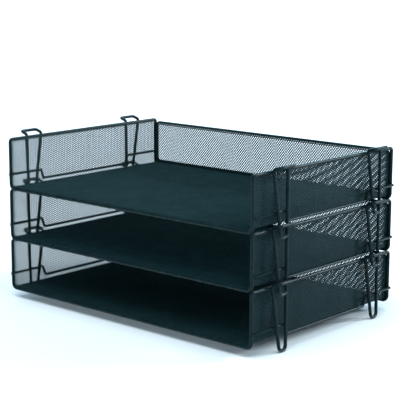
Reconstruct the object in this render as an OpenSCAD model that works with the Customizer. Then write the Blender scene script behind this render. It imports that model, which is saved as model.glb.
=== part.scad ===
// A stack of three wire-mesh letter trays.
// Each tray is a bent wire frame lined with sheet mesh and stands on four hairpin legs.
// The foot of a leg drops into the eye at the top of the leg below it.
// Inside a tray, z = 0 is the centre of its bottom wires. The part stands on z = 0.

/* [Tray] */
// Width between the centres of the two side rims
tray_w = 336; // [280:1:400]
// Depth between the centres of the front and rear hoops
tray_d = 228; // [180:1:280]
// Height from the bottom wire's centre to the side rim's centre
wall_h = 53.4; // [44:0.2:66]
// Height of a tray's bottom wire above the rim that it rests on, centre to centre
stack_step = 1.8; // [1.8:0.1:4]

/* [Frame wire] */
// Thickness of the frame wire
frame_d = 3.6; // [3:0.1:4]
// Bend radius of the bottom corners, at the wire's centre
corner_r = 5.5; // [5:0.5:9]
// Bend radius where a hoop turns into a side rim, at the wire's centre
rim_bend_r = 3.2; // [2.6:0.1:5]

/* [Mesh] */
// Thickness of the sheet mesh
mesh_t = 1; // [0.6:0.1:1.2]

/* [Back frame] */
// Thickness of the back frame's wire
back_d = 3; // [2.4:0.1:3.4]
// Bend radius of the back frame's corners, at the wire's centre
back_corner_r = 4; // [3:0.5:8]
// Drop of the back frame's top wire below the side rims, centre to centre
back_drop = 3; // [2.5:0.5:10]

/* [Side rails] */
// Thickness of the side rail's wire
rail_d = 2.8; // [2.2:0.1:3.2]
// Height of the rail's long middle stretch
rail_low = 4.9; // [4:0.1:8]
// Height of the rail's raised ends, where it passes behind a leg
rail_high = 14.6; // [12:0.1:20]
// Length along the wall in which the rail steps from one height to the other
rail_run = 3; // [2:0.5:6]
// Bend radius of the rail, at the wire's centre
rail_bend_r = 1.8; // [1.7:0.1:2.4]
// Length of rail past the centre of the hoop that it is welded to
rail_past = 0.2; // [0:0.1:1.6]
// Clear length between a leg and the rail's step
rail_leg_gap = 1; // [0.5:0.1:4]

/* [Legs] */
// Thickness of the leg's wire
leg_d = 3.4; // [2.6:0.1:4]
// Distance of a leg's middle from the nearer hoop's centre
leg_inset = 37; // [30:1:60]
// Width of the leg at its top eye, between wire centres
eye_w = 21; // [20:0.5:28]
// Width of the leg at its foot, between wire centres
foot_w = 9.5; // [9:0.5:11]
// Bend radius of the foot, at the wire's centre
foot_r = 4.6; // [3:0.1:4.8]
// Drop of the foot's centre below the tray's bottom wire
foot_drop = 8.5; // [7:0.5:14]
// Height of the eye's inner bends above the side rim
eye_lift = 2.6; // [2.4:0.1:4]
// Further rise of the eye's bar above those bends
eye_rise = 2.6; // [1:0.1:4]
// Bend radius of the eye, at the wire's centre
eye_r = 2.6; // [2.2:0.1:3]
// Clear gap between the eye's bar and the foot in the eye
foot_gap = 1.2; // [0.5:0.1:3]

/* [Hidden] */
$fn = 32;

// Colours
wire_colour = "#20282b";
leg_colour = "#2b363a";
mesh_colour = "#3d494d";

// Order of the trays in the stack, and the two sides
LOWER = 0;
MIDDLE = 1;
TOP = 2;
LEFT = -1;
RIGHT = 1;
FRONT = -1;
REAR = 1;

// Heights in the stack
ground_gap = foot_drop + leg_d / 2;
tray_pitch = wall_h + stack_step;

// The mesh lies against the inner side of the frame wire
mesh_half_out = tray_w / 2 - frame_d / 2;
mesh_half_in = mesh_half_out - mesh_t;
mesh_floor_out = frame_d / 2;
mesh_floor_in = mesh_floor_out + mesh_t;
mesh_r_out = corner_r - frame_d / 2;
mesh_r_in = mesh_r_out - mesh_t;

// The back frame nests in the rear hoop, and its mesh lies on its front side
back_half = mesh_half_out - back_d / 2;
back_low = mesh_floor_out + back_d / 2;
back_top = wall_h - back_drop;
back_mesh_y = tray_d / 2 - back_d / 2;

// A rail touches the outer side of the hoops, and a leg touches the rim and the rail
rail_out = (frame_d + rail_d) / 2;
leg_off_rim = (frame_d + leg_d) / 2;
leg_off_rail = (rail_d + leg_d) / 2;
rim_to_rail = norm([rail_out, wall_h - rail_high]);
leg_lean = acos((leg_off_rim - leg_off_rail) / rim_to_rail) - atan2(wall_h - rail_high, rail_out);

// Distance of a leg outside the side rim's centre at height z, and half its width there
leg_top = wall_h + eye_lift;
function leg_out(z) = leg_off_rim / cos(leg_lean) + (wall_h - z) * tan(leg_lean);
function leg_half_w(z) = foot_w / 2 + (eye_w - foot_w) / 2 * (z + foot_drop) / (leg_top + foot_drop);

// The eye's bar passes outside the leg that stands in the eye
eye_bar_z = leg_top + eye_rise;
eye_bar_out = leg_out(eye_bar_z - tray_pitch) + leg_d + foot_gap;

// The rail steps down just past the leg
rail_step_y = tray_d / 2 - leg_inset - leg_half_w(rail_high) - leg_d / 2 - rail_leg_gap;

// A straight and a bend of one wire meet inside a ball that is only just thicker than the wire
seam_over = 0.05;
seam_in = 0.15;

function unit(v) = v / norm(v);

// Length that a bend takes from each of its two straights
function bend_cut(before, corner, after, r) =
    r * tan(acos(unit(corner - before) * unit(after - corner)) / 2);

// A straight length of wire from one point to another
module straight(start, end, d) {
    run = end - start;
    translate(start)
        rotate([0, acos(run.z / norm(run)), atan2(run.y, run.x)])
            cylinder(h = norm(run), d = d);
}

// A bend of radius r at a corner of the wire's path, with a seam ball at each end
module bend(before, corner, after, r, d) {
    way_in = unit(corner - before);
    way_out = unit(after - corner);
    turn = acos(way_in * way_out);
    inward = unit(way_out - (way_in * way_out) * way_in);
    centre = corner - bend_cut(before, corner, after, r) * way_in + r * inward;
    side = cross(-inward, way_in);
    multmatrix([
        [-inward.x, way_in.x, side.x, centre.x],
        [-inward.y, way_in.y, side.y, centre.y],
        [-inward.z, way_in.z, side.z, centre.z],
        [0, 0, 0, 1]
    ]) {
        rotate_extrude(angle = turn)
            translate([r, 0])
                circle(d = d);
        for (at = [0, turn])
            rotate([0, 0, at])
                translate([r, 0, 0])
                    sphere(d = d + 2 * seam_over);
    }
}

// A wire of thickness d through the given points, with a bend radius for each point.
// A closed wire runs on from the last point to the first.
module bent_wire(points, radii, d, closed = false) {
    count = len(points);
    cuts = [for (i = [0 : count - 1])
        !closed && (i == 0 || i == count - 1)
            ? 0
            : seam_in + bend_cut(points[(i + count - 1) % count], points[i], points[(i + 1) % count], radii[i])];
    for (i = [0 : closed ? count - 1 : count - 2]) {
        next = (i + 1) % count;
        way = unit(points[next] - points[i]);
        straight(points[i] + cuts[i] * way, points[next] - cuts[next] * way, d);
    }
    for (i = [closed ? 0 : 1 : closed ? count - 1 : count - 2])
        bend(points[(i + count - 1) % count], points[i], points[(i + 1) % count], radii[i], d);
}

// Outline of a trough with rounded bottom corners
module trough(half_w, low, high, r) {
    translate([-half_w, low + r])
        square([2 * half_w, high - low - r]);
    translate([-half_w + r, low])
        square([2 * (half_w - r), r]);
    for (side = [-1, 1])
        translate([side * (half_w - r), low + r])
            circle(r = r);
}

module at_tray(level) {
    translate([0, 0, ground_gap + level * tray_pitch])
        children();
}

// The closed wire of a tray: front hoop, two side rims and rear hoop, bent from one length
module frame_wire(level) {
    x = tray_w / 2;
    y = tray_d / 2;
    color(wire_colour)
        at_tray(level)
            bent_wire(
                [
                    [-x, -y, wall_h], [-x, -y, 0], [x, -y, 0], [x, -y, wall_h],
                    [x, y, wall_h], [x, y, 0], [-x, y, 0], [-x, y, wall_h]
                ],
                [
                    rim_bend_r, corner_r, corner_r, rim_bend_r,
                    rim_bend_r, corner_r, corner_r, rim_bend_r
                ],
                frame_d,
                closed = true
            );
}

// One sheet of mesh bent into the left wall, the floor and the right wall.
// It runs from the front hoop to the back panel's mesh.
module mesh_wrap(level) {
    rear_y = back_mesh_y - mesh_t;
    color(mesh_colour)
        at_tray(level)
            intersection() {
                translate([0, rear_y, 0])
                    rotate([90, 0, 0])
                        linear_extrude(tray_d / 2 + rear_y)
                            difference() {
                                trough(mesh_half_out, mesh_floor_out, wall_h, mesh_r_out);
                                trough(mesh_half_in, mesh_floor_in, wall_h + 1, mesh_r_in);
                            }
                wall_outline();
            }
}

// The side walls' outline, with its top corners rounded to follow the frame wire
module wall_outline() {
    rotate([90, 0, 90])
        linear_extrude(tray_w, center = true)
            translate([0, wall_h])
                mirror([0, 1])
                    trough(tray_d / 2, 0, wall_h, rim_bend_r);
}

// The closed wire round the back panel
module back_frame(level) {
    y = tray_d / 2;
    color(wire_colour)
        at_tray(level)
            bent_wire(
                [
                    [-back_half, y, back_top], [-back_half, y, back_low],
                    [back_half, y, back_low], [back_half, y, back_top]
                ],
                [back_corner_r, back_corner_r, back_corner_r, back_corner_r],
                back_d,
                closed = true
            );
}

// The sheet of mesh that closes the back, on the front side of the back frame
module back_mesh(level) {
    color(mesh_colour)
        at_tray(level)
            translate([0, back_mesh_y, 0])
                rotate([90, 0, 0])
                    linear_extrude(mesh_t)
                        trough(mesh_half_out, mesh_floor_out, back_top, mesh_r_out);
}

// The stiffening wire along the outside of a wall, stepping up to pass behind the legs
module side_rail(level, side) {
    x = side * (tray_w / 2 + rail_out);
    end_y = tray_d / 2 + rail_past;
    low_y = rail_step_y - rail_run;
    color(wire_colour)
        at_tray(level)
            bent_wire(
                [
                    [x, -end_y, rail_high], [x, -rail_step_y, rail_high], [x, -low_y, rail_low],
                    [x, low_y, rail_low], [x, rail_step_y, rail_high], [x, end_y, rail_high]
                ],
                [0, rail_bend_r, rail_bend_r, rail_bend_r, rail_bend_r, 0],
                rail_d
            );
}

// A hairpin leg: a V with a rounded foot, its top ends bent outwards and joined into an eye
module leg(level, side, end) {
    middle_y = end * (tray_d / 2 - leg_inset);
    foot_x = side * (tray_w / 2 + leg_out(-foot_drop));
    top_x = side * (tray_w / 2 + leg_out(leg_top));
    bar_x = side * (tray_w / 2 + eye_bar_out);
    color(leg_colour)
        at_tray(level)
            bent_wire(
                [
                    [foot_x, middle_y - foot_w / 2, -foot_drop],
                    [top_x, middle_y - eye_w / 2, leg_top],
                    [bar_x, middle_y - eye_w / 2, eye_bar_z],
                    [bar_x, middle_y + eye_w / 2, eye_bar_z],
                    [top_x, middle_y + eye_w / 2, leg_top],
                    [foot_x, middle_y + foot_w / 2, -foot_drop]
                ],
                [foot_r, eye_r, eye_r, eye_r, eye_r, foot_r],
                leg_d,
                closed = true
            );
}

frame_wire(LOWER);  // lower_frame_wire
mesh_wrap(LOWER);  // lower_mesh_wrap
back_frame(LOWER);  // lower_back_frame
back_mesh(LOWER);  // lower_back_mesh
side_rail(LOWER, LEFT);  // lower_left_rail
side_rail(LOWER, RIGHT);  // lower_right_rail
leg(LOWER, LEFT, FRONT);  // lower_left_front_leg
leg(LOWER, LEFT, REAR);  // lower_left_rear_leg
leg(LOWER, RIGHT, FRONT);  // lower_right_front_leg
leg(LOWER, RIGHT, REAR);  // lower_right_rear_leg

frame_wire(MIDDLE);  // middle_frame_wire
mesh_wrap(MIDDLE);  // middle_mesh_wrap
back_frame(MIDDLE);  // middle_back_frame
back_mesh(MIDDLE);  // middle_back_mesh
side_rail(MIDDLE, LEFT);  // middle_left_rail
side_rail(MIDDLE, RIGHT);  // middle_right_rail
leg(MIDDLE, LEFT, FRONT);  // middle_left_front_leg
leg(MIDDLE, LEFT, REAR);  // middle_left_rear_leg
leg(MIDDLE, RIGHT, FRONT);  // middle_right_front_leg
leg(MIDDLE, RIGHT, REAR);  // middle_right_rear_leg

frame_wire(TOP);  // top_frame_wire
mesh_wrap(TOP);  // top_mesh_wrap
back_frame(TOP);  // top_back_frame
back_mesh(TOP);  // top_back_mesh
side_rail(TOP, LEFT);  // top_left_rail
side_rail(TOP, RIGHT);  // top_right_rail
leg(TOP, LEFT, FRONT);  // top_left_front_leg
leg(TOP, LEFT, REAR);  // top_left_rear_leg
leg(TOP, RIGHT, FRONT);  // top_right_front_leg
leg(TOP, RIGHT, REAR);  // top_right_rear_leg
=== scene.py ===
# %% [markdown]
# # A stack of wire-mesh letter trays
#
# Three equal desk trays stand on one another. Each one is a frame of bent steel wire, lined with
# expanded steel mesh, and the whole tray is covered in black powder coat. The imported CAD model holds
# every size, place and joint. This lesson gives it its real surface: mesh with open diamonds, round
# wires that bend as wire does, the welds that hold them together, and the coat of paint.

# %% Load the frame
import math

import bpy
import numpy as np
from mathutils import Matrix, Vector


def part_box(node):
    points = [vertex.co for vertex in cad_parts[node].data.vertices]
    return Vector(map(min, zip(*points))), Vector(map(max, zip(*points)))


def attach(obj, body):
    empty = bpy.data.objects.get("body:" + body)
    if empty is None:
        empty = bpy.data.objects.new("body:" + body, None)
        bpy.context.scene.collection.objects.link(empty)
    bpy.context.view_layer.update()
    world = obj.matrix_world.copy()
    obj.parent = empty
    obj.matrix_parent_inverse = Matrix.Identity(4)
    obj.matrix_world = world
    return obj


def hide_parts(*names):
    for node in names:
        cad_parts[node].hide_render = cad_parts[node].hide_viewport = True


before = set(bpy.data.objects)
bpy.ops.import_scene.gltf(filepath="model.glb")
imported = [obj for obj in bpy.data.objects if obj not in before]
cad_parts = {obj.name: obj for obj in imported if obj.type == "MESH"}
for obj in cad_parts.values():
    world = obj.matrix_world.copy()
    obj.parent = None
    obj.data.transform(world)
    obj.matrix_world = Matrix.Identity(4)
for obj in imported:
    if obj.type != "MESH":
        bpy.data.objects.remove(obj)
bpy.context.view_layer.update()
scene = bpy.context.scene
MM = 0.001
TRAYS = ("lower", "middle", "top")

# %% [markdown]
# ## Reading the sizes from the frame
#
# Each CAD node has a box, and nearly every size follows from those boxes: a wire's thickness is the
# gap between two of them, and a wire's centre is half a thickness inside one. The bend radii and the
# shape of a foot and an eye can't be seen in a box, so those few are written here once.
# Sizes are for the lowest tray, and `level` lifts them to the other two.

# %% Sizes of one tray
corner_bend = 5.5 * MM
rim_bend = 3.2 * MM
ring_bend = 4.0 * MM
rail_bend = 1.8 * MM
foot_bend = 4.6 * MM
eye_bend = 2.6 * MM
foot_w = 9.5 * MM
foot_drop = 8.5 * MM
eye_lift = 2.6 * MM

wire_low, wire_high = (np.array(c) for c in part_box("lower_frame_wire"))
sheet_low, sheet_high = (np.array(c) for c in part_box("lower_mesh_wrap"))
panel_low, panel_high = (np.array(c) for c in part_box("lower_back_mesh"))
ring_low, ring_high = (np.array(c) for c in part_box("lower_back_frame"))
rail_low, rail_high = (np.array(c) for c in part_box("lower_right_rail"))
leg_low, leg_high = (np.array(c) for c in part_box("lower_right_front_leg"))
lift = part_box("middle_mesh_wrap")[0][2] - sheet_low[2]

wire_r = (wire_high[0] - sheet_high[0]) / 2
half_w = sheet_high[0] + wire_r
half_d = -sheet_low[1]
bottom_z = sheet_low[2] - wire_r
rim_z = sheet_high[2]
sheet_t = panel_high[1] - panel_low[1]
ring_r = half_d - panel_high[1]
rail_r = (rail_high[0] - half_w - wire_r) / 2
leg_r = bottom_z - leg_low[2] - foot_drop


def level(tray):
    """Height that this tray stands above the lowest one."""
    return TRAYS.index(tray) * lift


print("wire radii in mm:", [round(r / MM, 2) for r in (wire_r, ring_r, rail_r, leg_r)])
print("half width, half depth, rim height in mm:", [round(v / MM, 1) for v in (half_w, half_d, rim_z)])

# %% [markdown]
# ## Powder coat
#
# The trays are black, but not one flat black. Powder coat melts into a skin with a fine pebble
# ("orange peel"), lies a little thicker in some places, and leans to blue-green. Where one tray slides
# on another it rubs grey. An image could hold all that, but a node pattern in object space has no
# seams, stays sharp at any distance and keeps still on the piece when a tray is lifted.
# One function makes both finishes: the wires are glossier than the mesh. The rubbed spots come from
# a fine noise, and a piece can ask for more of them with its own "rub" values, from 0 to 1.

# %% Powder coat materials
RUBBED_GREY = (0.085, 0.105, 0.112, 1)
RUB_SHARE = 0.33
RUB_EDGE = (0.70, 0.80)
RUB_MOST = (0.75, 0.75, 0.75)
GLOSS_LESS, GLOSS_MORE = 0.06, 0.10
DRIFT_EDGE = (0.35, 0.68)
PEBBLE_DEPTH = 0.1 * MM
# Lumps of each noise to the metre.
DRIFT_SCALE = 60
GLOSS_SCALE = 180
RUB_SCALE = 700
PEBBLE_SCALE = 1900


def powder_coat(name, dark, light, rough, pebble, shine):
    """A node material. dark and light are the two ends of the colour drift, rough is the mean
    roughness, pebble the strength of the fine bump and shine the strength of reflections.
    The coat is rubbed where a fine noise plus RUB_SHARE times the "rub" value passes RUB_EDGE."""
    material = bpy.data.materials.new(name)
    material.use_nodes = True
    nodes, links = material.node_tree.nodes, material.node_tree.links
    shader = nodes["Principled BSDF"]
    place = nodes.new("ShaderNodeTexCoord")

    def noise(scale, detail):
        node = nodes.new("ShaderNodeTexNoise")
        node.inputs["Scale"].default_value = scale
        node.inputs["Detail"].default_value = detail
        links.new(place.outputs["Object"], node.inputs["Vector"])
        return node.outputs["Fac"]

    def ramp(source, edge, first, last):
        node = nodes.new("ShaderNodeValToRGB")
        node.color_ramp.elements[0].position = edge[0]
        node.color_ramp.elements[1].position = edge[1]
        node.color_ramp.elements[0].color = (*first, 1)
        node.color_ramp.elements[1].color = (*last, 1)
        links.new(source, node.inputs["Fac"])
        return node.outputs["Color"]

    drift = ramp(noise(DRIFT_SCALE, 3), DRIFT_EDGE, dark, light)
    rub = nodes.new("ShaderNodeAttribute")
    rub.attribute_name = "rub"
    wear = nodes.new("ShaderNodeMath")
    wear.operation = "MULTIPLY_ADD"
    wear.inputs[1].default_value = RUB_SHARE
    links.new(rub.outputs["Fac"], wear.inputs[0])
    links.new(noise(RUB_SCALE, 5), wear.inputs[2])
    rubbed = ramp(wear.outputs[0], RUB_EDGE, (0, 0, 0), RUB_MOST)
    mix = nodes.new("ShaderNodeMix")
    mix.data_type = "RGBA"
    colours = [socket for socket in mix.inputs if socket.type == "RGBA"]
    mixed = [socket for socket in mix.outputs if socket.type == "RGBA"]
    colours[1].default_value = RUBBED_GREY
    links.new(rubbed, mix.inputs[0])
    links.new(drift, colours[0])
    links.new(mixed[0], shader.inputs["Base Color"])

    gloss = nodes.new("ShaderNodeMapRange")
    gloss.inputs["To Min"].default_value = rough - GLOSS_LESS
    gloss.inputs["To Max"].default_value = rough + GLOSS_MORE
    links.new(noise(GLOSS_SCALE, 2), gloss.inputs["Value"])
    links.new(gloss.outputs["Result"], shader.inputs["Roughness"])

    skin = nodes.new("ShaderNodeBump")
    skin.inputs["Strength"].default_value = pebble
    skin.inputs["Distance"].default_value = PEBBLE_DEPTH
    links.new(noise(PEBBLE_SCALE, 2), skin.inputs["Height"])
    links.new(skin.outputs["Normal"], shader.inputs["Normal"])
    shader.inputs["Specular IOR Level"].default_value = shine
    return material


wire_dark, wire_light = (0.0020, 0.0098, 0.0105), (0.0048, 0.0185, 0.0195)
mesh_dark, mesh_light = (0.0042, 0.0212, 0.0235), (0.0066, 0.0288, 0.0312)
wire_coat = powder_coat("wire_coat", wire_dark, wire_light, rough=0.27, pebble=0.4, shine=0.10)
mesh_coat = powder_coat("mesh_coat", mesh_dark, mesh_light, rough=0.36, pebble=0.25, shine=0.13)
print("materials:", wire_coat.name, mesh_coat.name)

# %% [markdown]
# ## From arrays to a piece
#
# Every shape below is worked out as whole numpy arrays of points and faces. This helper turns them
# into a Blender object, tells the frame which body it moves with, hides the CAD nodes it stands for
# and gives it its paint. The object stays at the origin, so its place is in its points.

# %% Making a piece


def make_piece(name, points, faces, tray, slot, coat, stands_for=(), smooth=False, rub=None):
    """One closed mesh object made from an (n, 3) array of points and a list of faces.
    rub gives each point's wear, from 0 for fresh paint to 1 where trays slide on each other."""
    mesh = bpy.data.meshes.new(name)
    mesh.from_pydata(points, [], faces)
    if rub is not None:
        mesh.attributes.new("rub", "FLOAT", "POINT").data.foreach_set("value", rub)
    if smooth:
        mesh.shade_smooth()
    mesh.materials.append(coat)
    piece = bpy.data.objects.new(name, mesh)
    scene.collection.objects.link(piece)
    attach(piece, f"{tray}_tray")
    if stands_for:
        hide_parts(*stands_for)
    return piece


# %% [markdown]
# ## Bent wire
#
# A bent wire is a round profile carried along a path. The path is a list of corners, and a bending
# machine turns each corner on an arc, so the path is straight lines joined by arcs. A Blender curve
# with a bevel could do this, but it rounds its corners with handles. Working out the arcs gives
# the exact bend radius, and rings of points that follow the turn evenly.

# %% Path of a bent wire
ARC_STEP = math.radians(11)


def unit(v):
    """Each vector divided by its own length."""
    return v / np.linalg.norm(v, axis=-1, keepdims=True)


def bent_path(corners, bends, closed):
    """Points along a wire. At a corner with bend radius r the arc starts r * tan(turn / 2) before
    the corner, and its point at angle a is centre - r * cos(a) * inward + r * sin(a) * way in."""
    corners = np.array(corners)
    count = len(corners)
    points = []
    for i in range(count):
        if not closed and i in (0, count - 1):
            points.append(corners[i][None])
            continue
        way_in = unit(corners[i] - corners[i - 1])
        way_out = unit(corners[(i + 1) % count] - corners[i])
        turn = math.acos(np.clip(way_in @ way_out, -1, 1))
        inward = unit(way_out - (way_in @ way_out) * way_in)
        centre = corners[i] - bends[i] * math.tan(turn / 2) * way_in + bends[i] * inward
        a = np.linspace(0, turn, max(3, int(turn / ARC_STEP) + 1))[:, None]
        points.append(centre - bends[i] * np.cos(a) * inward + bends[i] * np.sin(a) * way_in)
    return np.concatenate(points)


# %% [markdown]
# A ring of points needs two directions at right angles to the path. If they were chosen afresh at
# each point, the tube would twist on itself. So each ring takes the last one's direction and only
# straightens it (parallel transport), and on a closed wire the small angle that is left over
# at the end is shared out along the way.

# %% Tube round a path
TUBE_SIDES = 16
END_STEP = 0.45
END_SHARE = 0.62
ANY_DIRECTION = (0.31, 0.52, 0.79)


def ring_frames(path, closed):
    """Two unit vectors across the path at each point, carried along it without twist."""
    back = np.roll(path, 1, axis=0)
    ahead = np.roll(path, -1, axis=0)
    if not closed:
        back[0], ahead[-1] = 2 * path[0] - path[1], 2 * path[-1] - path[-2]
    tangent = unit(unit(path - back) + unit(ahead - path))
    across = [unit(np.cross(tangent[0], ANY_DIRECTION))]
    for t in tangent[1:]:
        last = across[-1]
        across.append(unit(last - (last @ t) * t))
    across = np.array(across)
    side = np.cross(tangent, across)
    if closed:
        end = across[-1] - (across[-1] @ tangent[0]) * tangent[0]
        left_over = math.atan2(end @ side[0], end @ across[0])
        a = -left_over * np.arange(len(path))[:, None] / len(path)
        turned = np.cos(a) * across + np.sin(a) * side
        across, side = turned, np.cos(a) * side - np.sin(a) * across
    return across, side


def tube(path, radius, closed):
    """Points and faces of a round tube: path + radius * (cos(a) * across + sin(a) * side).
    An open end has its edge taken off: its last ring is END_SHARE of the radius, and the full
    radius starts END_STEP radii further in."""
    if not closed:
        step = END_STEP * radius
        start, end = unit(path[1] - path[0]) * step, unit(path[-2] - path[-1]) * step
        path = np.concatenate([path[:1], path[:1] + start, path[1:-1], path[-1:] + end, path[-1:]])
    radii = np.full(len(path), radius)
    if not closed:
        radii[[0, -1]] *= END_SHARE
    across, side = ring_frames(path, closed)
    a = np.linspace(0, 2 * math.pi, TUBE_SIDES, endpoint=False)[None, :, None]
    outward = np.cos(a) * across[:, None] + np.sin(a) * side[:, None]
    points = path[:, None] + radii[:, None, None] * outward
    rings = len(path)
    i = np.arange(rings if closed else rings - 1)[:, None]
    j = np.arange(TUBE_SIDES)[None]
    i2, j2 = (i + 1) % rings, (j + 1) % TUBE_SIDES
    corners = (i * TUBE_SIDES + j, i * TUBE_SIDES + j2, i2 * TUBE_SIDES + j2, i2 * TUBE_SIDES + j)
    faces = np.stack(np.broadcast_arrays(*corners), axis=-1).reshape(-1, 4).tolist()
    if not closed:
        faces.append(list(range(TUBE_SIDES))[::-1])
        faces.append([(rings - 1) * TUBE_SIDES + k for k in range(TUBE_SIDES)])
    return points.reshape(-1, 3), faces


# %% [markdown]
# ## Frame wire
#
# One length of wire makes the whole frame of a tray: down and up as the front hoop, back along
# a side rim, down and up as the rear hoop, and home along the other rim. Its ends meet in a butt
# weld. So it is one closed path with eight corners.

# %% Frame wires
REST_LONG = 9 * MM
REST_WIDE = 27 * MM
REST_HIGH = 1.5


def frame_rub(points, up):
    """Wear of a frame wire: 1 at the hoops' top and bottom corners, where one tray's hoop rests on
    the rim below, falling to 0 over a short way along the rim and up the post."""
    along = np.clip(1 - (half_d - np.abs(points[:, 1])) / REST_LONG, 0, 1)
    height = points[:, 2] - up
    down = np.minimum(np.abs(height - rim_z - wire_r), np.abs(height - bottom_z + wire_r))
    beside = np.clip(1 - (half_w - np.abs(points[:, 0])) / REST_WIDE, 0, 1)
    return along * beside * np.clip(1 - down / (REST_HIGH * wire_r), 0, 1)


def frame_wire(tray):
    """The closed frame wire of one tray: a tube round a path with eight bent corners."""
    low, high = bottom_z + level(tray), rim_z + level(tray)
    x, y = half_w, half_d
    corners = [(-x, -y, high), (-x, -y, low), (x, -y, low), (x, -y, high)]
    corners += [(x, y, high), (x, y, low), (-x, y, low), (-x, y, high)]
    bends = [rim_bend, corner_bend, corner_bend, rim_bend] * 2
    points, faces = tube(bent_path(corners, bends, True), wire_r, True)
    node = f"{tray}_frame_wire"
    rub = frame_rub(points, level(tray))
    return make_piece(f"{tray}_frame", points, faces, tray, "frame_wire", wire_coat, [node], True, rub)


for tray in TRAYS:
    piece = frame_wire(tray)
    print(piece.name, len(piece.data.polygons), "faces")

# %% [markdown]
# ## Back frame
#
# A second closed wire nests inside the rear hoop and carries the back panel. It is a plain rounded
# rectangle whose top lies a little below the side rims, which leaves room for the tray above.

# %% Back frames


def back_frame(tray):
    """The closed wire of one tray's back: a tube round a rounded rectangle."""
    x = ring_high[0] - ring_r
    low, high = ring_low[2] + ring_r + level(tray), ring_high[2] - ring_r + level(tray)
    corners = [(-x, half_d, high), (-x, half_d, low), (x, half_d, low), (x, half_d, high)]
    points, faces = tube(bent_path(corners, [ring_bend] * 4, True), ring_r, True)
    node = f"{tray}_back_frame"
    name = f"{tray}_back_wire"
    return make_piece(name, points, faces, tray, "frame_wire", wire_coat, [node], True)


for tray in TRAYS:
    piece = back_frame(tray)
    print(piece.name, len(piece.data.polygons), "faces")

# %% [markdown]
# ## Side rails
#
# A thinner wire stiffens the foot of each side wall. It runs low along the middle, and at both ends
# it steps up, so that the eyes of the tray below have room under it.

# %% Side rails
rail_x = half_w + wire_r + rail_r
rail_top_z = rail_high[2] - rail_r
rail_low_z = rail_low[2] + rail_r
rail_step_y = 67.5 * MM
rail_run = 3.0 * MM


def side_rail(tray, side):
    """One side rail: a tube round an open path that is low in the middle and steps up at its ends."""
    x, up = {"left": -rail_x, "right": rail_x}[side], level(tray)
    end_y, low_y = rail_high[1], rail_step_y - rail_run
    high, low = rail_top_z + up, rail_low_z + up
    corners = [(x, -end_y, high), (x, -rail_step_y, high), (x, -low_y, low)]
    corners += [(x, low_y, low), (x, rail_step_y, high), (x, end_y, high)]
    points, faces = tube(bent_path(corners, [rail_bend] * 6, False), rail_r, False)
    name, node = f"{tray}_{side}_side_rail", f"{tray}_{side}_rail"
    return make_piece(name, points, faces, tray, "frame_wire", wire_coat, [node], True)


for tray in TRAYS:
    for side in ("left", "right"):
        piece = side_rail(tray, side)
        print(piece.name, len(piece.data.polygons), "faces")

# %% [markdown]
# ## Hairpin legs
#
# A leg is one closed wire: a V whose point is rounded into a foot, and whose top ends bend outwards
# into an eye. It leans out as it goes down, because it has to touch the rim at the top and the
# outside of the rail further down. That lean is the common tangent of two circles, the rim's and the
# rail's, so it is worked out here and not guessed.

# %% Legs
reach = math.hypot(rail_x - half_w, rim_z - rail_top_z)
lean = math.acos((wire_r - rail_r) / reach) - math.atan2(rim_z - rail_top_z, rail_x - half_w)
eye_w = leg_high[1] - leg_low[1] - 2 * leg_r
foot_z = leg_low[2] + leg_r
bar_z = leg_high[2] - leg_r
bar_x = leg_high[0] - leg_r
leg_middle_y = (leg_low[1] + leg_high[1]) / 2
FOOT_RUB_H = 7 * MM
EYE_RUB_H = 2 * MM
EYE_RUB = 0.7


def leg_x(z):
    """Distance of the leg's centre line from the middle of the tray at height z."""
    return half_w + (wire_r + leg_r) / math.cos(lean) + (rim_z - z) * math.tan(lean)


def leg_rub(points, up):
    """Wear of a leg: 1 at the tip of the foot, and a little less along the top of the eye."""
    height = points[:, 2] - up
    at_foot = np.clip(1 - (height - leg_low[2]) / FOOT_RUB_H, 0, 1)
    at_eye = np.clip(1 - (leg_high[2] - height) / EYE_RUB_H, 0, 1)
    return at_foot + EYE_RUB * at_eye


def leg(tray, side, end):
    """One hairpin: a tube round a closed path of six corners, two at the foot and four at the eye."""
    s, up = {"left": -1, "right": 1}[side], level(tray)
    y = {"front": leg_middle_y, "rear": -leg_middle_y}[end]
    top_z = rim_z + eye_lift
    corners = [
        (s * leg_x(foot_z), y - foot_w / 2, foot_z + up),
        (s * leg_x(top_z), y - eye_w / 2, top_z + up),
        (s * bar_x, y - eye_w / 2, bar_z + up),
        (s * bar_x, y + eye_w / 2, bar_z + up),
        (s * leg_x(top_z), y + eye_w / 2, top_z + up),
        (s * leg_x(foot_z), y + foot_w / 2, foot_z + up),
    ]
    bends = [foot_bend, eye_bend, eye_bend, eye_bend, eye_bend, foot_bend]
    points, faces = tube(bent_path(corners, bends, True), leg_r, True)
    name, node = f"{tray}_{side}_{end}_hairpin", f"{tray}_{side}_{end}_leg"
    rub = leg_rub(points, up)
    return make_piece(name, points, faces, tray, "leg_wire", wire_coat, [node], True, rub)


for tray in TRAYS:
    for side in ("left", "right"):
        for end in ("front", "rear"):
            piece = leg(tray, side, end)
            print(piece.name, len(piece.data.polygons), "faces")

# %% [markdown]
# ## Expanded mesh
#
# Expanded mesh isn't woven. A sheet of steel is slit and pulled open, and what is left is two
# families of thin strands that lean two ways, leave diamond holes, and run together in a short thick
# bond wherever they meet. A picture of holes on a flat sheet would look right only from straight on.
# Real strands have thickness, so the floor closes up when it is seen at a low angle while the walls
# stay open, and that is most of how such a tray looks. So every strand is a real bar here, and every
# bond a real knob, though the knobs are out of place, as told further down. A strand runs right
# across the sheet, down a wall, round the bend and over the floor, so there are only a few hundred
# strands, with a few bends in each.
#
# The sheet is first laid out flat, with u level and v square to it. Two kinds are used. The wrap's
# diamonds are twice as long as they are high, and the back's are nearly square.

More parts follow.
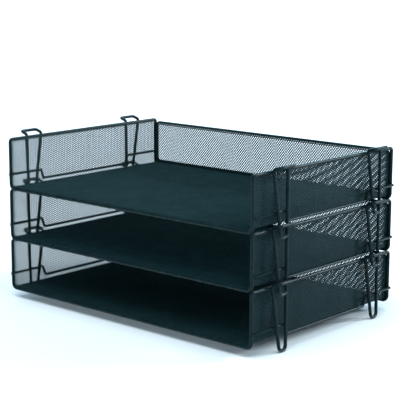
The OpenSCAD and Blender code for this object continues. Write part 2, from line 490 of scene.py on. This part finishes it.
# %% The flat sheet
wrap_mesh = {"wide": 4.8 * MM, "high": 2.3 * MM, "strand": 0.86 * MM, "bond": (1.05, 0.62, 0.42)}
back_mesh = {"wide": 3.11 * MM, "high": 3.42 * MM, "strand": 1.02 * MM, "bond": (0.74, 0.80, 0.42)}
strand_t = 0.50 * MM
shortest_strand = 0.4 * MM
shortest_cut = 0.05 * MM
nudge = 0.1 * MM
strand_tilt = math.radians(32)
family_gap = 0.16 * MM


def strand_lines(kind, u_span, v_span, family, shift):
    """Straight strands across a rectangle of flat sheet, a row for each: u and v of its two ends.
    Along a strand v changes by a diamond's height while u changes by its width, so a strand is
    v = v0 + slope * u, cut off where it leaves the rectangle."""
    high = kind["high"]
    slope = family * high / kind["wide"]
    rise = abs(slope) * u_span[1] + high
    rows = np.arange(math.floor((v_span[0] - rise) / high), math.ceil((v_span[1] + rise) / high))
    v0 = (rows + shift) * high
    cut = (np.array(v_span)[None] - v0[:, None]) / slope
    u_first = np.maximum(cut.min(axis=1), u_span[0])
    u_last = np.minimum(cut.max(axis=1), u_span[1])
    keep = u_last - u_first > shortest_strand
    u = np.stack([u_first, u_last], axis=1)[keep]
    return u, v0[keep, None] + slope * u


def cut_at(u, v, breaks):
    """Extra points on each strand at the v values in breaks, where the sheet is folded.
    Gives all points of all strands in one row, and the number of the first point of each."""
    v_low, v_high = v.min(axis=1, keepdims=True), v.max(axis=1, keepdims=True)
    inner = np.broadcast_to(breaks, (len(v), len(breaks)))
    inside = (inner > v_low + shortest_cut) & (inner < v_high - shortest_cut)
    rising = v[:, 1:] > v[:, :1]
    stops = np.concatenate([v[:, :1], np.where(rising, inner, inner[:, ::-1]), v[:, 1:]], axis=1)
    ends = np.ones((len(v), 1), bool)
    keep = np.concatenate([ends, np.where(rising, inside, inside[:, ::-1]), ends], axis=1)
    share = (stops - v[:, :1]) / (v[:, 1:] - v[:, :1])
    along = u[:, :1] + share * (u[:, 1:] - u[:, :1])
    first = np.concatenate([[0], np.cumsum(keep.sum(axis=1))[:-1]])
    return along[keep], stops[keep], first


# %% [markdown]
# Each strand is a flat bar with four edges. When mesh is pulled open the strands twist, so each
# family is tilted its own way. The twist is what makes one side of the sheet catch the light.

# %% Bars and bonds


def bars(kind, surface, u, v, first, family):
    """Points and faces of the strands. surface(u, v) gives the place and the sheet's normal.
    A strand's section is place + p * flat + q * deep, with flat and deep the directions across the
    bar and through it, which are the sheet's own turned by the tilt about the strand."""
    count = len(u)
    last = np.append(first[1:], count) - 1
    place, normal = surface(u, v)
    ahead = np.zeros_like(place)
    ahead[:-1] = place[1:] - place[:-1]
    ahead[last] = ahead[last - 1]
    before = np.roll(ahead, 1, axis=0)
    before[first] = ahead[first]
    way = unit(unit(ahead) + unit(before))
    across = unit(np.cross(normal, way))
    normal = np.cross(way, across)
    c, s = math.cos(strand_tilt), -family * math.sin(strand_tilt)
    flat, deep = c * across + s * normal, c * normal - s * across
    p = np.array([1, -1, -1, 1])[None, :, None] * kind["strand"] / 2
    q = np.array([1, 1, -1, -1])[None, :, None] * strand_t / 2
    points = place[:, None] + p * flat[:, None] + q * deep[:, None]
    i = 4 * np.setdiff1d(np.arange(count), last)[:, None]
    j = np.arange(4)[None]
    j2 = (j + 1) % 4
    sides = np.stack(np.broadcast_arrays(i + j, i + j2, i + 4 + j2, i + 4 + j), axis=-1)
    starts = 4 * first[:, None] + np.arange(4)[::-1]
    ends = 4 * last[:, None] + np.arange(4)
    return points.reshape(-1, 3), np.concatenate([sides.reshape(-1, 4), starts, ends])


KNOB_FRONT = [(0, 2, 4), (2, 1, 4), (1, 3, 4), (3, 0, 4)]
KNOB_BACK = [(2, 0, 5), (1, 2, 5), (3, 1, 5), (0, 3, 5)]
KNOB = np.array(KNOB_FRONT + KNOB_BACK)


def bonds(kind, surface, u_span, v_span):
    """Points and faces of one eight-sided knob for each crossing: its six points are the place plus
    or minus a half size along u, along v and through the sheet. The places are a quarter of a diamond
    off the crossings, which is a known fault."""
    half = np.array(kind["bond"]) * MM
    step_u, step_v = kind["wide"] / 2, kind["high"] / 2
    i, j = np.meshgrid(
        np.arange(math.ceil((u_span[0] + half[0]) / step_u), (u_span[1] - half[0]) / step_u),
        np.arange(math.ceil((v_span[0] + half[1]) / step_v), (v_span[1] - half[1]) / step_v),
    )
    odd = (i + j) % 2 == 1
    u, v = i[odd] * step_u, j[odd] * step_v
    place, normal = surface(u, v)
    along = unit(surface(u + nudge, v)[0] - place)
    axes = np.stack([along, np.cross(normal, along), normal], axis=1) * half[None, :, None]
    both = np.array([1, -1])[None, None, :, None]
    points = place[:, None, None] + both * axes[:, :, None]
    faces = 6 * np.arange(len(u))[:, None, None] + KNOB[None]
    return points.reshape(-1, 3), faces.reshape(-1, 3)


# %% [markdown]
# The two families lie a hair apart through the sheet and sink into each other where they cross.
# `mesh_sheet` joins both, and their bonds. A hem is the sheet's own edge folded back on itself, so
# it is a second, narrow layer with its strands a quarter of a diamond out of step: there the mesh
# looks nearly solid, with a ragged edge. Hems have no bonds.
#
# One fault is known here. The knobs are not on the crossings. `SHEET_SHIFT` moves the second family
# by half a diamond, so the crossings lie a quarter of a diamond further along u and along v, and the
# knobs weren't moved with them. Each sits on a strand of the second family, midway between two
# crossings. With both shifts at 0.5 the knobs fall on the crossings. The strand widths and the mesh's
# colour were chosen with the knobs as they are, so they would have to be chosen again.

# %% A sheet and its hems
SHEET_SHIFT = {1: 0.0, -1: 0.5}
HEM_SHIFT = {1: 0.25, -1: 0.75}


def mesh_sheet(kind, surface, u_span, v_span, breaks, hem=False):
    """A list of (points, faces): the two strand families of a rectangle of sheet, and its bonds.
    The shift moves a family's strands along v by that share of a diamond."""
    parts = []
    for family in (1, -1):
        shift = (HEM_SHIFT if hem else SHEET_SHIFT)[family]

        def lifted(u, v, family=family):
            place, normal = surface(u, v)
            return place + (family * family_gap / 2) * normal, normal

        u, v, first = cut_at(*strand_lines(kind, u_span, v_span, family, shift), breaks)
        parts.append(bars(kind, lifted, u, v, first, family))
    if not hem:
        parts.append(bonds(kind, surface, u_span, v_span))
    return parts


def joined(parts):
    """One array of points and one list of faces from many parts. Each part's faces are numbered on
    from the points before it."""
    faces, start = [], 0
    for points, some in parts:
        if isinstance(some, np.ndarray):
            faces += (some + start).tolist()
        else:
            faces += [[corner + start for corner in face] for face in some]
        start += len(points)
    return np.concatenate([points for points, _ in parts]), faces


def behind(surface, depth):
    """The same surface moved through the sheet by depth, for a layer folded behind the first."""

    def moved(u, v):
        place, normal = surface(u, v)
        return place + depth * normal, normal

    return moved


# %% [markdown]
# ## The wrap: left wall, floor and right wall
#
# The wrap is one sheet folded into a trough. Flat, it is a strip: v runs across it from the left rim
# to the right rim and u runs back from the front hoop. Folding is a function: it takes v to a
# point on the trough's outline, which is wall, quarter circle, floor, quarter circle, wall.

# %% Folding the sheet
fold_r = corner_bend - wire_r - sheet_t / 2
wall_x = half_w - wire_r - sheet_t / 2
floor_z = bottom_z + wire_r + sheet_t / 2
wall_v = rim_z - floor_z - fold_r
fold_v = fold_r * math.pi / 2
floor_v = 2 * (wall_x - fold_r)
wrap_width = 2 * wall_v + 2 * fold_v + floor_v
wrap_length = panel_low[1] + half_d
fold_points = 5
fold_steps = np.linspace(0, fold_v, fold_points)
wrap_breaks = np.concatenate([wall_v + fold_steps, wall_v + fold_v + floor_v + fold_steps])
hem_w = 2.4 * MM
hem_depth = 0.45 * MM


def wrap_surface(up):
    """The fold for a tray lifted by up: (u, v) on the strip to a place and an inward normal."""

    def surface(u, v):
        from_rim = np.where(v < wrap_width / 2, v, wrap_width - v)
        side = np.where(v < wrap_width / 2, -1.0, 1.0)
        a = np.clip((from_rim - wall_v) / fold_r, 0, math.pi / 2)
        x = wall_x - fold_r * (1 - np.cos(a)) - np.clip(from_rim - wall_v - fold_v, 0, None)
        z = floor_z + fold_r * (1 - np.sin(a)) + np.clip(wall_v - from_rim, 0, None)
        place = np.stack([side * x, u - half_d, z + up], axis=1)
        normal = np.stack([-side * np.cos(a), np.zeros_like(a), np.sin(a)], axis=1)
        return place, normal

    return surface


for tray in TRAYS:
    sheet = wrap_surface(level(tray))
    folded = behind(sheet, -hem_depth)
    ends = [(0, hem_w), (wrap_length - hem_w, wrap_length)]
    sides = [(0, hem_w), (wrap_width - hem_w, wrap_width)]
    parts = mesh_sheet(wrap_mesh, sheet, (0, wrap_length), (0, wrap_width), wrap_breaks)
    for span in ends:
        parts += mesh_sheet(wrap_mesh, folded, span, (0, wrap_width), wrap_breaks, hem=True)
    for span in sides:
        parts += mesh_sheet(wrap_mesh, folded, (0, wrap_length), span, np.array([]), hem=True)
    node = f"{tray}_mesh_wrap"
    piece = make_piece(f"{tray}_wrap", *joined(parts), tray, "mesh", mesh_coat, [node])
    triangles = sum(len(face.vertices) - 2 for face in piece.data.polygons)
    print(piece.name, "-", triangles, "triangles")

# %% [markdown]
# ## The back panel's mesh
#
# The back is a flat sheet of the second kind, with diamonds that are nearly square. It is hemmed on
# all four edges.

# %% Back meshes
panel_x = ring_high[0] - ring_r
panel_z = ring_low[2] + ring_r
panel_y = (panel_low[1] + panel_high[1]) / 2
panel_h = panel_high[2] - panel_z
back_hem_w = 2.9 * MM


def back_surface(up):
    """The upright panel of a tray lifted by up: (u, v) to a place and a normal that faces forward."""

    def surface(u, v):
        place = np.stack([u - panel_x, np.full_like(u, panel_y), v + panel_z + up], axis=1)
        return place, np.broadcast_to([0.0, -1.0, 0.0], place.shape)

    return surface


for tray in TRAYS:
    sheet = back_surface(level(tray))
    folded = behind(sheet, hem_depth)
    parts = mesh_sheet(back_mesh, sheet, (0, 2 * panel_x), (0, panel_h), np.array([]))
    for span in ((0, back_hem_w), (2 * panel_x - back_hem_w, 2 * panel_x)):
        parts += mesh_sheet(back_mesh, folded, span, (0, panel_h), np.array([]), hem=True)
    for span in ((0, hem_w), (panel_h - hem_w, panel_h)):
        parts += mesh_sheet(back_mesh, folded, (0, 2 * panel_x), span, np.array([]), hem=True)
    node = f"{tray}_back_mesh"
    piece = make_piece(f"{tray}_back_panel", *joined(parts), tray, "mesh", mesh_coat, [node])
    triangles = sum(len(face.vertices) - 2 for face in piece.data.polygons)
    print(piece.name, "-", triangles, "triangles")

# %% [markdown]
# ## Weld beads
#
# Every wire of a tray is welded where it touches another, and a weld leaves a small bead of metal
# under the paint. A bead is an egg shape: half its size is buried in the two wires and the rest
# fills the groove between them. Each joint gives a place, the direction the bead runs in, and the
# direction from one wire to the other. Boolean joins would give the same look for far more work.

# %% Shape of a bead
BEAD_RINGS = 7
BEAD_SIDES = 10
LEG_BEAD = (2.2, 0.9, 1.1)
RAIL_END_BEAD = (1.1, 1.0, 1.3)
POST_BEAD = (3.0, 1.1, 1.2)
CORNER_BEAD = (3.4, 0.9, 1.1)


def bead(place, along, between, half_sizes):
    """Points and faces of one egg: place + sizes * (cos(lat), sin(lat) * cos(a), sin(lat) * sin(a)),
    with the two poles closed by one point each. half_sizes is in mm, along the bead first."""
    along, between = unit(np.array(along, float)), np.array(between, float)
    between = unit(between - (between @ along) * along)
    axes = np.stack([along, between, np.cross(along, between)])
    axes *= np.array(half_sizes)[:, None] * MM
    lat = np.linspace(0, math.pi, BEAD_RINGS + 2)[1:-1, None]
    a = np.linspace(0, 2 * math.pi, BEAD_SIDES, endpoint=False)[None]
    sine = np.sin(lat)
    ring = np.stack(np.broadcast_arrays(np.cos(lat), sine * np.cos(a), sine * np.sin(a)), -1)
    ball = np.concatenate([[[1, 0, 0]], ring.reshape(-1, 3), [[-1, 0, 0]]])
    i = np.arange(BEAD_RINGS - 1)[:, None] * BEAD_SIDES + 1
    j = np.arange(BEAD_SIDES)[None]
    j2 = (j + 1) % BEAD_SIDES
    quads = np.stack(np.broadcast_arrays(i + j, i + BEAD_SIDES + j, i + BEAD_SIDES + j2, i + j2), -1)
    end = BEAD_RINGS * BEAD_SIDES + 1
    lowest = end - BEAD_SIDES
    caps = [(0, 1 + k, 1 + (k + 1) % BEAD_SIDES) for k in range(BEAD_SIDES)]
    caps += [(end, lowest + (k + 1) % BEAD_SIDES, lowest + k) for k in range(BEAD_SIDES)]
    return ball @ axes + np.array(place), quads.reshape(-1, 4).tolist() + caps


# %% Where the beads are
POST_BEAD_Z = (12 * MM, 26 * MM, 41 * MM)
FLOOR_BEAD_X = (-0.66, -0.22, 0.22, 0.66)
CORNER_SHIFT = 0.2 * MM


def weld_beads(tray):
    """One list of (points, faces) with a bead for every place where two wires of a tray touch."""
    up = level(tray)
    beads = []
    lean_out = np.array([math.cos(lean), 0, math.sin(lean)])
    foot_reach = (rim_z + eye_lift) - foot_z
    for s in (-1, 1):
        outward = lean_out * (s, 1, 1)
        for y in (leg_middle_y, -leg_middle_y):
            for spread in (-1, 1):
                for x, z, r in ((half_w, rim_z, wire_r), (rail_x, rail_top_z, rail_r)):
                    share = (z - foot_z) / foot_reach
                    leg_y = y + spread * (foot_w + (eye_w - foot_w) * share) / 2
                    place = np.array([s * x, leg_y, z + up]) + r * outward
                    beads.append(bead(place, (0, 1, 0), outward, LEG_BEAD))
        for y in (-half_d, half_d):
            place = (s * (half_w + wire_r), y, rail_top_z + up)
            beads.append(bead(place, (0, 1, 0), (s, 0, 0), RAIL_END_BEAD))
        for z in POST_BEAD_Z:
            place = (s * (half_w - wire_r), half_d, bottom_z + z + up)
            beads.append(bead(place, (0, 0, 1), (s, 0, 0), POST_BEAD))
        corner = corner_bend - (corner_bend - wire_r) * math.sqrt(0.5) + CORNER_SHIFT
        place = (s * (half_w - corner), half_d, bottom_z + corner + up)
        beads.append(bead(place, (s, 0, 1), (s, 0, -1), CORNER_BEAD))
    for x in FLOOR_BEAD_X:
        place = (x * half_w, half_d, bottom_z + wire_r + up)
        beads.append(bead(place, (1, 0, 0), (0, 0, 1), POST_BEAD))
    return beads


for tray in TRAYS:
    beads = weld_beads(tray)
    piece = make_piece(f"{tray}_weld_beads", *joined(beads), tray, "frame_wire", wire_coat, smooth=True)
    print(piece.name, "-", len(beads), "beads")

# %% [markdown]
# ## Camera
#
# The camera stands in front of the right corner and a little above, with a long lens.

# %% Camera
CAMERA_PLACE = (0.9057, -1.0274, 0.3797)
CAMERA_TURN = math.radians(41.21)
CAMERA_TILT = math.radians(11.07)
CAMERA_ROLL = math.radians(0.21)
LONG_LENS = 117.0

camera_data = bpy.data.cameras.new("camera")
camera_data.lens = LONG_LENS
camera_data.sensor_width = 36.0
camera_data.clip_start = 0.05
camera_data.clip_end = 30.0
camera = bpy.data.objects.new("camera", camera_data)
scene.collection.objects.link(camera)
camera.matrix_world = (
    Matrix.Translation(CAMERA_PLACE)
    @ Matrix.Rotation(CAMERA_TURN, 4, "Z")
    @ Matrix.Rotation(math.pi / 2 - CAMERA_TILT, 4, "X")
    @ Matrix.Rotation(CAMERA_ROLL, 4, "Z")
)
scene.camera = camera
print("camera at", [round(v, 3) for v in camera.location])

# %% [markdown]
# ## Floor and light
#
# Black wire has no light of its own to show: it is read by its outline against a white floor, and by
# the thin line of light that runs along the top of each wire. So the floor is bright, the light is
# one wide soft lamp above, and a pale blue studio fills the shadows. A second, narrower lamp stands
# behind on the right and draws the thin lines, and a third, low and blue on the left at the back,
# gives the mesh floors their faint sheen. Sun lamps with a wide disc are used, and not area lamps,
# because they light the far floor as brightly as the near floor, so the background stays one
# even white.

# %% Floor
FAR = 30
floor_corners = [(-FAR, -FAR, 0), (FAR, -FAR, 0), (FAR, FAR, 0), (-FAR, FAR, 0)]

floor_mesh = bpy.data.meshes.new("floor")
floor_mesh.from_pydata(floor_corners, [], [(0, 1, 2, 3)])
floor = bpy.data.objects.new("floor", floor_mesh)
scene.collection.objects.link(floor)
white = bpy.data.materials.new("white_floor")
white.use_nodes = True
paint = white.node_tree.nodes["Principled BSDF"].inputs
paint["Base Color"].default_value = (0.92, 0.94, 0.95, 1)
paint["Roughness"].default_value = 0.8
paint["Specular IOR Level"].default_value = 0.1
floor_mesh.materials.append(white)
print("floor:", 2 * FAR, "m across")

# %% Lights
studio = bpy.data.worlds.new("studio")
studio.use_nodes = True
sky = studio.node_tree.nodes["Background"].inputs
sky["Color"].default_value = (0.60, 0.80, 1.0, 1)
sky["Strength"].default_value = 0.50
scene.world = studio


def lamp(name, toward, disc, strength, colour):
    """A sun lamp that shines from the direction toward, with a disc this many degrees wide."""
    data = bpy.data.lights.new(name, "SUN")
    data.angle = math.radians(disc)
    data.energy = strength
    data.color = colour
    made = bpy.data.objects.new(name, data)
    scene.collection.objects.link(made)
    made.matrix_world = Vector(toward).to_track_quat("Z", "Y").to_matrix().to_4x4()
    return made


lamp("soft_key", (0.05, -0.25, 0.97), 60, 2.9, (0.86, 0.98, 1.02))
lamp("edge_light", (0.52, 0.76, 0.39), 10, 2.6, (0.82, 0.94, 1.0))
lamp("floor_sheen", (-0.62, 0.70, 0.36), 30, 1.1, (0.40, 0.75, 1.0))
scene.view_settings.view_transform = "Standard"
